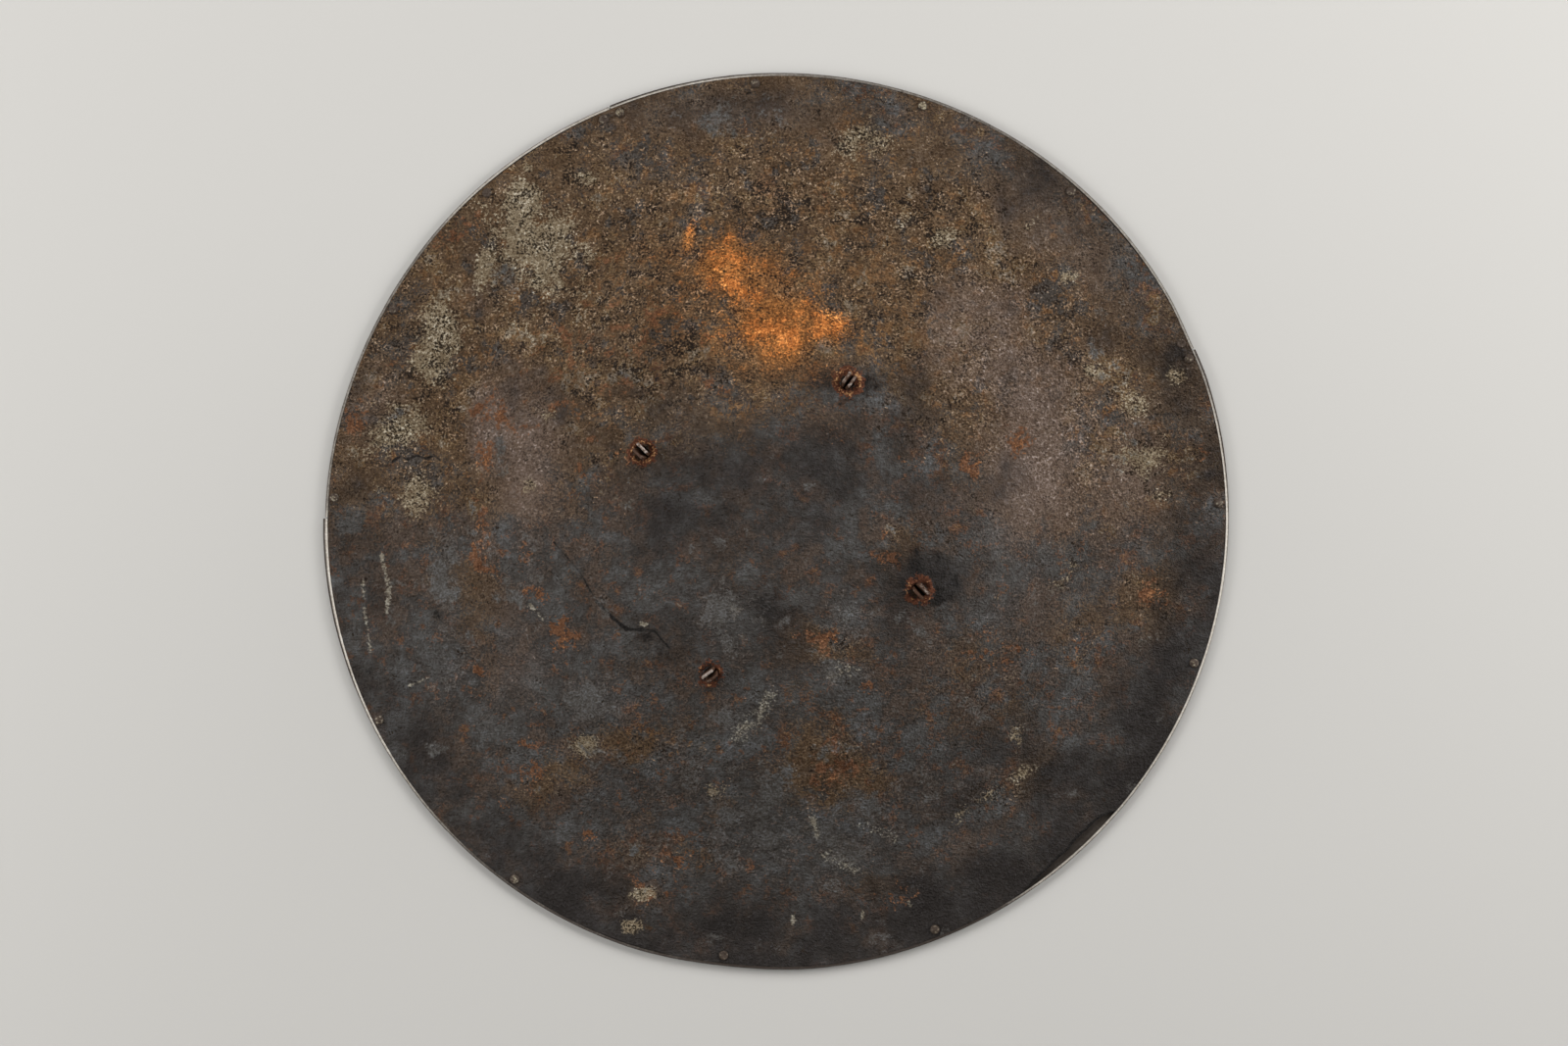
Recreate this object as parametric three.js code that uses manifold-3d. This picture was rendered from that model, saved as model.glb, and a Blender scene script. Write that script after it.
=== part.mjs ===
// A round domed iron shield, lying on its rim with its outer face up.
// Millimetres, +Z up, with the origin on the ground under the middle of the dome.
import * as THREE from 'three';
import { mergeVertices } from 'three/addons/utils/BufferGeometryUtils.js';
import Module from 'manifold-3d';

const wasm = await Module();
wasm.setup();

// Driving dimensions: lengths in millimetres, angles in degrees anticlockwise from +X, seen from above.
const GAP = 0.3; // clearance between pieces that touch
const BEYOND = 1; // how far a cutter runs past what it cuts
const STEP_ANGLE = 360 / 80; // facets round the rim

// The outline is a worn circle: slightly oval, with stretches that are knocked in.
const RIM_RADIUS = 225;
const OVAL_SWELL = 1.3;
const OVAL_DIRECTION = 26;
const FLATS = [
  { direction: 24, halfWidth: 6, depth: 0.6 },
  { direction: 154, halfWidth: 24, depth: 0.8 },
  { direction: 263, halfWidth: 14, depth: 1.0 },
];

// The plate is a sheet of one thickness: a convex crown, a hollow flare and a flat land.
const PLATE_THICKNESS = 1.6;
const FLANK_SLOPE = 31; // the steepest slope, where the crown meets the flare
const CROWN_EDGE = 150; // radius of that meeting line
const LAND_EDGE = 218; // radius where the flare runs out into the land
const PLATE_SETBACK = 1.7; // from the outline to the plate's edge
const OUTER_FACETS = { crown: 8, flare: 5 };
const INNER_FACETS = { crown: 7, flare: 4 };

// The edge is broken off along a ragged line: direction, and depth from the plate's edge.
const BREAK_LINE = [
  [303, 0.2], [306.2, 1.5], [308.5, 2.7], [310.2, 3.4], [311.3, 2.9],
  [313.4, 4.6], [315.4, 4.3], [317, 4.2], [317.9, 3.2], [319.4, 0.5],
];

// The rim is edged with three lengths of L-section strip, whose lips spread outwards at some ends.
const FLANGE_WIDTH = 13;
const FLANGE_THICKNESS = 1.5;
const LIP_THICKNESS = 1.3;
const JOINT_GAP = 0.6;
const RIM_STRIPS = [
  { from: 22.5, to: 112, spreadFrom: 0, spreadTo: 0.4 },
  { from: 112, to: 179.5, spreadFrom: 0, spreadTo: 0 },
  { from: 179.5, to: 382.5, spreadFrom: 1, spreadTo: 0.5 },
];
const SPREAD_ANGLE = 34; // how far round a spread end fades out

// Rivets: each has its direction and its distance in from the outline.
const RIVET_HEAD_RADIUS = 2.3;
const RIVET_HEAD_HEIGHT = 1.2;
const RIVET_SHANK_RADIUS = 1.2;
const RIVET_TAIL_RADIUS = 1.9; // the tail is hammered flush into a countersink
const RIVET_TAIL_HEIGHT = 0.7;
const RIVET_SIDES = 8;
const RIVETS = [
  [2.4, 4.8], [21.6, 4.2], [23.8, 4.8], [48.3, 4.8], [70.65, 4.8], [92.8, 4.8], [111, 4.8], [113.3, 4.8],
  [131.4, 4.8], [151, 4.8], [176.9, 4.2], [206.5, 4.2], [233.7, 4.2], [263, 5.2], [291.2, 5.2], [341.3, 4.8],
];
const LOST_RIVET = [317.8, 5]; // its hole is left in the strip, where the plate is broken

// Split pins: place on the plate, direction across the strip, and height and lean of its two legs.
const PIN_STRIP_WIDTH = 6.8;
const PIN_STRIP_THICKNESS = 1.4;
const PIN_LEG_GAP = 1;
const PIN_EYE_RADIUS = 4;
const PIN_EYE_DROP = 7.4; // from the plate's outer face to the middle of the eye
const PIN_EYE_FACETS = 7; // in each half of the eye
const PIN_HOLE_RADIUS = 4.35;
const PIN_HOLE_SIDES = 16;
const BURR_RADIUS = 6.6;
const BURR_HEIGHT = 0.8;
const PINS = [
  { direction: 152.5, radius: 74.3, strip: 135, legs: [6.4, 4.6], leans: [0.5, 0.9] },
  { direction: 62.9, radius: 77, strip: 235, legs: [6.6, 5.8], leans: [0.6, 0.5] },
  { direction: 334.4, radius: 77.6, strip: 134, legs: [6.8, 5.2], leans: [0.5, 1.2] },
  { direction: 246.4, radius: 81.4, strip: 217, legs: [6.2, 4.4], leans: [0.4, 0.8] },
];

// Levels and arcs that follow from those.
const radians = THREE.MathUtils.degToRad;
const flankSlope = radians(FLANK_SLOPE);
const crownRadius = CROWN_EDGE / Math.sin(flankSlope);
const flareRadius = (LAND_EDGE - CROWN_EDGE) / Math.sin(flankSlope);
const landHeight = FLANGE_THICKNESS + GAP + PLATE_THICKNESS;
const flareRise = flareRadius * (1 - Math.cos(flankSlope));
const crownRise = crownRadius * (1 - Math.cos(flankSlope));
const domeHeight = landHeight + flareRise + crownRise;

const plateIron = new THREE.MeshStandardMaterial({ color: 0x3b3835, roughness: 0.6, metalness: 0.55 });
const wornIron = new THREE.MeshStandardMaterial({ color: 0x8b8781, roughness: 0.45, metalness: 0.8 });
const rivetIron = new THREE.MeshStandardMaterial({ color: 0x6f6858, roughness: 0.5, metalness: 0.7 });
const rustedIron = new THREE.MeshStandardMaterial({ color: 0x5d3522, roughness: 0.85, metalness: 0.3 });

function polar(direction, radius) {
  const angle = radians(direction);
  return new THREE.Vector2(radius * Math.cos(angle), radius * Math.sin(angle));
}

// How far one direction is from another, either way round.
function apart(direction, other) {
  const turn = THREE.MathUtils.euclideanModulo(direction - other, 360);
  return Math.min(turn, 360 - turn);
}

// A smooth hump: 1 at nought, 0 at one and beyond.
function hump(share) {
  return share < 1 ? (1 + Math.cos(Math.PI * share)) / 2 : 0;
}

function outline(direction) {
  const swell = OVAL_SWELL * Math.cos(radians(2 * (direction - OVAL_DIRECTION)));
  const knocked = FLATS.map((flat) => flat.depth * hump(apart(direction, flat.direction) / flat.halfWidth));
  return RIM_RADIUS + swell - knocked.reduce((sum, depth) => sum + depth, 0);
}

function plateEdge(direction) {
  return outline(direction) - PLATE_SETBACK;
}

// Height and slope of the crown's outer face.
function crownHeight(radius) {
  return domeHeight - crownRadius + Math.sqrt(crownRadius ** 2 - radius ** 2);
}

function crownSlope(radius) {
  return Math.asin(radius / crownRadius);
}

// A frame on the crown's outer face: z along its normal, and y along a plan direction.
function onCrown(direction, radius, along = 90) {
  const plan = polar(direction, radius);
  return new THREE.Matrix4()
    .makeTranslation(plan.x, plan.y, crownHeight(radius))
    .multiply(new THREE.Matrix4().makeRotationZ(radians(direction)))
    .multiply(new THREE.Matrix4().makeRotationY(crownSlope(radius)))
    .multiply(new THREE.Matrix4().makeRotationZ(radians(along - 90 - direction)));
}

function onLand([direction, setback]) {
  const plan = polar(direction, outline(direction) - setback);
  return new THREE.Matrix4().makeTranslation(plan.x, plan.y, 0);
}

function toSolid(geometry) {
  const bare = geometry.clone();
  bare.deleteAttribute('normal');
  bare.deleteAttribute('uv');
  const merged = mergeVertices(bare);
  const vertProperties = new Float32Array(merged.attributes.position.array);
  const triVerts = new Uint32Array(merged.index.array);
  return new wasm.Manifold(new wasm.Mesh({ numProp: 3, vertProperties, triVerts }));
}

function toMesh(solid, name, material) {
  const { vertProperties, triVerts } = solid.getMesh();
  const geometry = new THREE.BufferGeometry();
  geometry.setAttribute('position', new THREE.BufferAttribute(new Float32Array(vertProperties), 3));
  geometry.setIndex(new THREE.BufferAttribute(new Uint32Array(triVerts), 1));
  geometry.computeVertexNormals();
  const mesh = new THREE.Mesh(geometry, material);
  mesh.name = name;
  return mesh;
}

// A turned shape about +Z, from points of radius and height that run up its outside.
function turned(points, sides) {
  return new THREE.LatheGeometry(points, sides).rotateX(Math.PI / 2);
}

function prism(points, low, high) {
  const shape = new THREE.Shape(points);
  return new THREE.ExtrudeGeometry(shape, { depth: high - low, bevelEnabled: false }).translate(0, 0, low);
}

// A curved bar on plan between two directions, with its inner and outer radius given by direction.
function curvedBar(from, to, inner, outer, low, high) {
  const count = Math.ceil((to - from) / STEP_ANGLE);
  const directions = Array.from({ length: count + 1 }, (_, i) => from + ((to - from) * i) / count);
  const outside = directions.map((direction) => polar(direction, outer(direction)));
  const inside = directions.map((direction) => polar(direction, inner(direction)));
  return prism([...outside, ...inside.reverse()], low, high);
}

function rivetHole(rivet) {
  const shank = RIVET_SHANK_RADIUS + GAP;
  const tail = RIVET_TAIL_RADIUS + GAP;
  const top = landHeight + BEYOND;
  const points = [
    new THREE.Vector2(0, -BEYOND),
    new THREE.Vector2(tail, -BEYOND),
    new THREE.Vector2(tail, GAP),
    new THREE.Vector2(shank, GAP + RIVET_TAIL_HEIGHT),
    new THREE.Vector2(shank, top),
    new THREE.Vector2(0, top),
  ];
  const cutter = turned(points, RIVET_SIDES);
  return toSolid(cutter.applyMatrix4(onLand(rivet)));
}

function pinHole(pin) {
  const depth = 4 * (PLATE_THICKNESS + BURR_HEIGHT);
  const cutter = new THREE.CylinderGeometry(PIN_HOLE_RADIUS, PIN_HOLE_RADIUS, depth, PIN_HOLE_SIDES);
  return toSolid(cutter.rotateX(Math.PI / 2).applyMatrix4(onCrown(pin.direction, pin.radius)));
}

function pinBurr(pin) {
  const root = PLATE_THICKNESS / 2;
  const crest = PIN_HOLE_RADIUS + GAP;
  const burr = new THREE.CylinderGeometry(crest, BURR_RADIUS, root + BURR_HEIGHT, PIN_HOLE_SIDES);
  burr.rotateX(Math.PI / 2).translate(0, 0, (BURR_HEIGHT - root) / 2);
  return toSolid(burr.applyMatrix4(onCrown(pin.direction, pin.radius)));
}

function brokenEdge() {
  const inside = BREAK_LINE.map(([direction, depth]) => polar(direction, plateEdge(direction) - depth));
  const [first, last] = [BREAK_LINE[0][0], BREAK_LINE.at(-1)[0]];
  const reach = RIM_RADIUS + OVAL_SWELL + BEYOND;
  return toSolid(prism([...inside, polar(last, reach), polar(first, reach)], -BEYOND, domeHeight));
}

// The plate's section: outer face from the axis to the edge, then the inner face back.
function plateSection() {
  const crownMiddle = domeHeight - crownRadius;
  const flareMiddle = landHeight + flareRadius;
  const edge = RIM_RADIUS - PLATE_SETBACK;
  const [up, down] = [Math.PI / 2, (3 * Math.PI) / 2];
  const crown = (radius, from, to, back, facets) => new THREE.EllipseCurve(
    0, crownMiddle, radius, radius, from, to, back,
  ).getPoints(facets);
  const flare = (radius, from, to, back, facets) => new THREE.EllipseCurve(
    LAND_EDGE, flareMiddle, radius, radius, from, to, back,
  ).getPoints(facets);
  const outer = [
    ...crown(crownRadius, up, up - flankSlope, true, OUTER_FACETS.crown),
    ...flare(flareRadius, down - flankSlope, down, false, OUTER_FACETS.flare).slice(1),
    new THREE.Vector2(edge, landHeight),
  ];
  const inner = [
    new THREE.Vector2(edge, landHeight - PLATE_THICKNESS),
    ...flare(flareRadius + PLATE_THICKNESS, down, down - flankSlope, true, INNER_FACETS.flare),
    ...crown(crownRadius - PLATE_THICKNESS, up - flankSlope, up, false, INNER_FACETS.crown).slice(1),
  ];
  return [...outer, ...inner].reverse();
}

// Pulls a turned shape out to the worn outline.
function followOutline(geometry) {
  const { position } = geometry.attributes;
  for (let i = 0; i < position.count; i += 1) {
    const [x, y] = [position.getX(i), position.getY(i)];
    const share = outline(THREE.MathUtils.radToDeg(Math.atan2(y, x))) / RIM_RADIUS;
    position.setXY(i, x * share, y * share);
  }
  return geometry;
}

function shieldPlate() {
  let plate = toSolid(followOutline(turned(plateSection(), Math.round(360 / STEP_ANGLE))));
  for (const pin of PINS) plate = plate.add(pinBurr(pin)).subtract(pinHole(pin));
  for (const rivet of RIVETS) plate = plate.subtract(rivetHole(rivet));
  return toMesh(plate.subtract(brokenEdge()), 'shield_plate', plateIron);
}

function rimStrip(strip, number) {
  const trim = THREE.MathUtils.radToDeg(JOINT_GAP / 2 / RIM_RADIUS);
  const [from, to] = [strip.from + trim, strip.to - trim];
  const spread = (direction) => strip.spreadFrom * hump((direction - from) / SPREAD_ANGLE)
    + strip.spreadTo * hump((to - direction) / SPREAD_ANGLE);
  const outside = (direction) => outline(direction) + spread(direction);
  const inside = (direction) => outline(direction) - FLANGE_WIDTH;
  const lipFoot = (direction) => outline(direction) - LIP_THICKNESS;
  const past = (direction) => inside(direction) - BEYOND;
  const bar = toSolid(curvedBar(from, to, inside, outside, 0, landHeight));
  const recess = curvedBar(from - BEYOND, to + BEYOND, past, lipFoot, FLANGE_THICKNESS, landHeight + BEYOND);
  let angle = bar.subtract(toSolid(recess));
  for (const rivet of [...RIVETS, LOST_RIVET]) angle = angle.subtract(rivetHole(rivet));
  return toMesh(angle, `rim_strip_${number}`, wornIron);
}

function rimRivet(rivet, number) {
  const shoulder = landHeight + GAP;
  const capRadius = (RIVET_HEAD_RADIUS ** 2 + RIVET_HEAD_HEIGHT ** 2) / (2 * RIVET_HEAD_HEIGHT);
  const capMiddle = shoulder + RIVET_HEAD_HEIGHT - capRadius;
  const capStart = Math.asin((shoulder - capMiddle) / capRadius);
  const points = [
    new THREE.Vector2(0, GAP),
    new THREE.Vector2(RIVET_TAIL_RADIUS, GAP),
    new THREE.Vector2(RIVET_SHANK_RADIUS, GAP + RIVET_TAIL_HEIGHT),
    new THREE.Vector2(RIVET_SHANK_RADIUS, shoulder),
    ...new THREE.Path().absarc(0, capMiddle, capRadius, capStart, Math.PI / 2).getPoints(1),
  ];
  const name = `rim_rivet_${String(number).padStart(2, '0')}`;
  const mesh = toMesh(toSolid(turned(points, RIVET_SIDES)), name, rivetIron);
  mesh.applyMatrix4(onLand(rivet));
  return mesh;
}

// A strip folded round an eye: the outline of its edge, with x across the strip and y along the legs.
function foldedStrip([rightLeg, leftLeg], [rightLean, leftLean]) {
  const inner = PIN_LEG_GAP / 2;
  const outer = inner + PIN_STRIP_THICKNESS;
  const eyeOuter = PIN_EYE_RADIUS + PIN_STRIP_THICKNESS;
  const outerStart = Math.acos(outer / eyeOuter);
  const innerStart = Math.acos(inner / PIN_EYE_RADIUS);
  const shape = new THREE.Shape();
  shape.moveTo(outer + rightLean, rightLeg);
  shape.lineTo(outer, BURR_HEIGHT);
  shape.absarc(0, -PIN_EYE_DROP, eyeOuter, outerStart, Math.PI - outerStart, true);
  shape.lineTo(-outer, BURR_HEIGHT);
  shape.lineTo(-outer - leftLean, leftLeg);
  shape.lineTo(-inner - leftLean, leftLeg);
  shape.lineTo(-inner, BURR_HEIGHT);
  shape.absarc(0, -PIN_EYE_DROP, PIN_EYE_RADIUS, Math.PI - innerStart, innerStart, false);
  shape.lineTo(inner, BURR_HEIGHT);
  shape.lineTo(inner + rightLean, rightLeg);
  return shape;
}

function handlePin(pin, number) {
  const shape = foldedStrip(pin.legs, pin.leans);
  const settings = { depth: PIN_STRIP_WIDTH, bevelEnabled: false, curveSegments: PIN_EYE_FACETS };
  const geometry = new THREE.ExtrudeGeometry(shape, settings);
  geometry.translate(0, 0, -PIN_STRIP_WIDTH / 2).rotateX(Math.PI / 2);
  const mesh = toMesh(toSolid(geometry), `handle_pin_${number}`, rustedIron);
  mesh.applyMatrix4(onCrown(pin.direction, pin.radius, pin.strip));
  return mesh;
}

const shield = new THREE.Group();
shield.add(shieldPlate());
RIM_STRIPS.forEach((strip, i) => shield.add(rimStrip(strip, i + 1)));
RIVETS.forEach((rivet, i) => shield.add(rimRivet(rivet, i + 1)));
PINS.forEach((pin, i) => shield.add(handlePin(pin, i + 1)));

export default shield;
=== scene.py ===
import math

import bpy
import numpy as np
from mathutils import Matrix, Vector


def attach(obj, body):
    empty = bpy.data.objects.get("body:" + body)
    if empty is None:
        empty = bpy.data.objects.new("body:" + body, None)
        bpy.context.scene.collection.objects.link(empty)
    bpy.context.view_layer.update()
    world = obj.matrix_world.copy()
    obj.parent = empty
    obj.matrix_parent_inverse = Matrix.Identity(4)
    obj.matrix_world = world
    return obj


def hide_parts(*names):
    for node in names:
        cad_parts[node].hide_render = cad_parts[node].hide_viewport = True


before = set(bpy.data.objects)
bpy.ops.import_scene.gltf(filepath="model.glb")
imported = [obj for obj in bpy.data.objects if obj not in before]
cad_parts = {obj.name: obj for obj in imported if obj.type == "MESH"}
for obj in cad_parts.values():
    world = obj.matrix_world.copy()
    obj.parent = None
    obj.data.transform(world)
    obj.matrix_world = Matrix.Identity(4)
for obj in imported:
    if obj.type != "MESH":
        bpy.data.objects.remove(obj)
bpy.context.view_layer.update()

# Lengths are in millimetres, apart from the studio's, and directions in degrees from +X towards +Y.
# A finished piece is shrunk by this factor into the frame's metres.
MM = 0.001
# Corners sharper than this stay sharp in the shading.
SHARP_ANGLE = math.radians(42.0)

# Rim outline, worn out of round
RIM_RADIUS = 225.0
OVAL_SWELL = 1.3
OVAL_DIRECTION = 26.0
# Worn flats: direction, half width, depth
FLATS = ((24.0, 6.0, 0.6), (154.0, 24.0, 0.8), (263.0, 14.0, 1.0))

# Domed plate
WALL = 1.6
FLANK_SLOPE = math.radians(31.0)
CROWN_EDGE = 150.0
LAND_EDGE = 218.0
PLATE_SETBACK = 1.4
# Where the plate's edge has drawn back from the lip: direction, half width, gap
EDGE_GAPS = ((42.0, 20.0, 0.5), (126.0, 16.0, 0.4), (250.0, 10.0, 0.3))
FLANGE_THICKNESS = 1.5
FIT_GAP = 0.3
LAND_HEIGHT = FLANGE_THICKNESS + FIT_GAP + WALL
CROWN_RADIUS = CROWN_EDGE / math.sin(FLANK_SLOPE)
FLARE_RADIUS = (LAND_EDGE - CROWN_EDGE) / math.sin(FLANK_SLOPE)
DOME_HEIGHT = LAND_HEIGHT + (CROWN_RADIUS + FLARE_RADIUS) * (1.0 - math.cos(FLANK_SLOPE))
FACE_GRID = 280
BACK_GRID = 60
GRID_SMOOTHING = 30

# Broken edge: direction, and how far the break goes in from the plate's edge
BREAK_LINE = (
    (303.0, 0.2), (306.2, 1.5), (308.5, 2.7), (310.2, 3.4), (311.3, 2.9),
    (313.4, 4.6), (315.4, 4.3), (317.0, 4.2), (317.9, 3.2), (319.4, 0.5),
)
BREAK_REACH = 16.0

# Edging strips of L section: from, to, spread of the lip at each end
FLANGE_WIDTH = 13.0
LIP_THICKNESS = 1.3
JOINT_GAP = 0.6
SPREAD_ANGLE = 34.0
STRIPS = ((22.5, 112.0, 0.0, 0.4), (112.0, 179.5, 0.0, 0.0), (179.5, 382.5, 1.0, 0.5))
STRIP_BEVEL = 0.32
# Heights between which the lip grows bright, how far out from its inner side, and how softly that ends
LIP_FOOT = 2.0
LIP_BRIGHT = 3.0
PALE_EDGE = 0.95 * LIP_THICKNESS
PALE_FADE = 0.35
# How pale the top of the lip is at each direction: direction, paleness
LIP_PALENESS = (
    (0, 1.0), (12, 0.85), (18, 0.5), (48, 0.45), (60, 0.3), (88, 0.35), (97, 0.65), (134, 0.6), (141, 0.3),
    (178, 0.4), (181, 1.0), (200, 1.0), (213, 0.6), (222, 0.35), (232, 0.15), (256, 0.12), (263, 0.0),
    (297, 0.0), (306, 0.5), (322, 0.6), (330, 0.7), (342, 0.85), (354, 1.0), (360, 1.0),
)

# Rim rivets: direction, setback from the outline, kind of head, paleness of the worn top
RIVETS = (
    (2.4, 4.8, "domed", 0.4), (21.6, 4.2, "domed", 0.5), (23.8, 4.8, "hollow", 0.4),
    (48.3, 4.8, "domed", 0.4), (70.65, 4.8, "domed", 1.0), (92.8, 4.8, "domed", 0.2),
    (111.0, 4.8, "domed", 0.8), (113.3, 4.8, "hollow", 0.6), (131.4, 4.8, "domed", 0.2),
    (151.0, 4.8, "domed", 0.4), (176.9, 4.2, "domed", 0.5), (206.5, 4.2, "domed", 0.5),
    (233.7, 4.2, "domed", 0.5), (263.0, 5.2, "hollow", 0.5), (291.2, 5.2, "domed", 0.4),
    (341.3, 4.8, "domed", 0.4),
)

# Rivet turned about its axis, as radius and height: tail and shank, and what either head adds
RIVET_SHANK = (
    (0.0, 0.3), (1.9, 0.3), (1.9, 0.45), (1.2, 1.0), (1.2, 3.42), (2.15, 3.42), (2.35, 3.65), (2.3, 4.0),
)
RIVET_HEADS = {
    "domed": ((2.0, 4.4), (1.45, 4.72), (0.75, 4.88), (0.0, 4.9)),
    "hollow": ((2.05, 4.35), (1.7, 4.45), (1.3, 4.25), (0.8, 3.95), (0.0, 3.85)),
}
RIVET_SIDES = 20
# A rivet is turned by so many times its direction on the rim, so that no two sit alike.
RIVET_TURN = 7.0
# Heights between which a rivet's head grows rough, and its top worn
ROUGH_HEAD = (3.4, 4.0)
WORN_HEAD = (3.9, 4.6)

# Split pins: direction, radius, direction of the strip, heights of the two legs, their leans and paleness
PINS = (
    (152.5, 74.3, 135.0, (6.4, 4.6), (0.5, 0.9), (0.75, 0.1)),
    (62.9, 77.0, 235.0, (6.6, 5.8), (0.6, 0.5), (0.5, 0.4)),
    (334.4, 77.6, 134.0, (6.8, 5.2), (0.5, 1.2), (0.4, 0.05)),
    (246.4, 81.4, 217.0, (6.2, 4.4), (0.4, 0.8), (0.9, 0.1)),
)
PIN_WIDTH = 6.8
PIN_THICKNESS = 1.4
LEG_GAP = 1.0
PIN_BEVEL = 0.3
EYE_RADIUS = 4.0
EYE_DROP = 7.4
EYE_STEPS = 20
# Where a leg bends, as shares of its height and of its lean
BEND_HEIGHT = 0.55
BEND_LEAN = 0.4
# Length of a leg's end that is worn
WORN_END = 2.0
HOLE_RADIUS = 4.35
HOLE_SIDES = 24
DRILL_LENGTH = 12.0
# How far rust has closed the mouths of the holes on either side of the legs, how far beyond the holes and
# how deep it draws the iron along, how softly each of these ends, and how far down it takes the iron for
# each millimetre inwards
CHOKED = 1.75
CHOKED_REACH = 1.0
CHOKED_DEPTH = 1.2
REACH_FADE = 0.9
DEPTH_FADE = 0.8
CHOKED_SLOPE = 0.5
# Collar of rust round each pin: radius, how rusty, how bright its crest
COLLARS = ((8.6, 1.0, 0.35), (9.0, 1.1, 0.4), (9.0, 0.9, 0.05), (7.8, 0.85, 0.0))
COLLAR_RADIUS = max(reach for reach, _, _ in COLLARS)
COLLAR_FADE = 2.5
# Radius and half width of the collar's bright crest and of its raised ring
BRIGHT_CREST = (5.3, 1.6)
RAISED_CREST = (5.6, 2.6)
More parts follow.
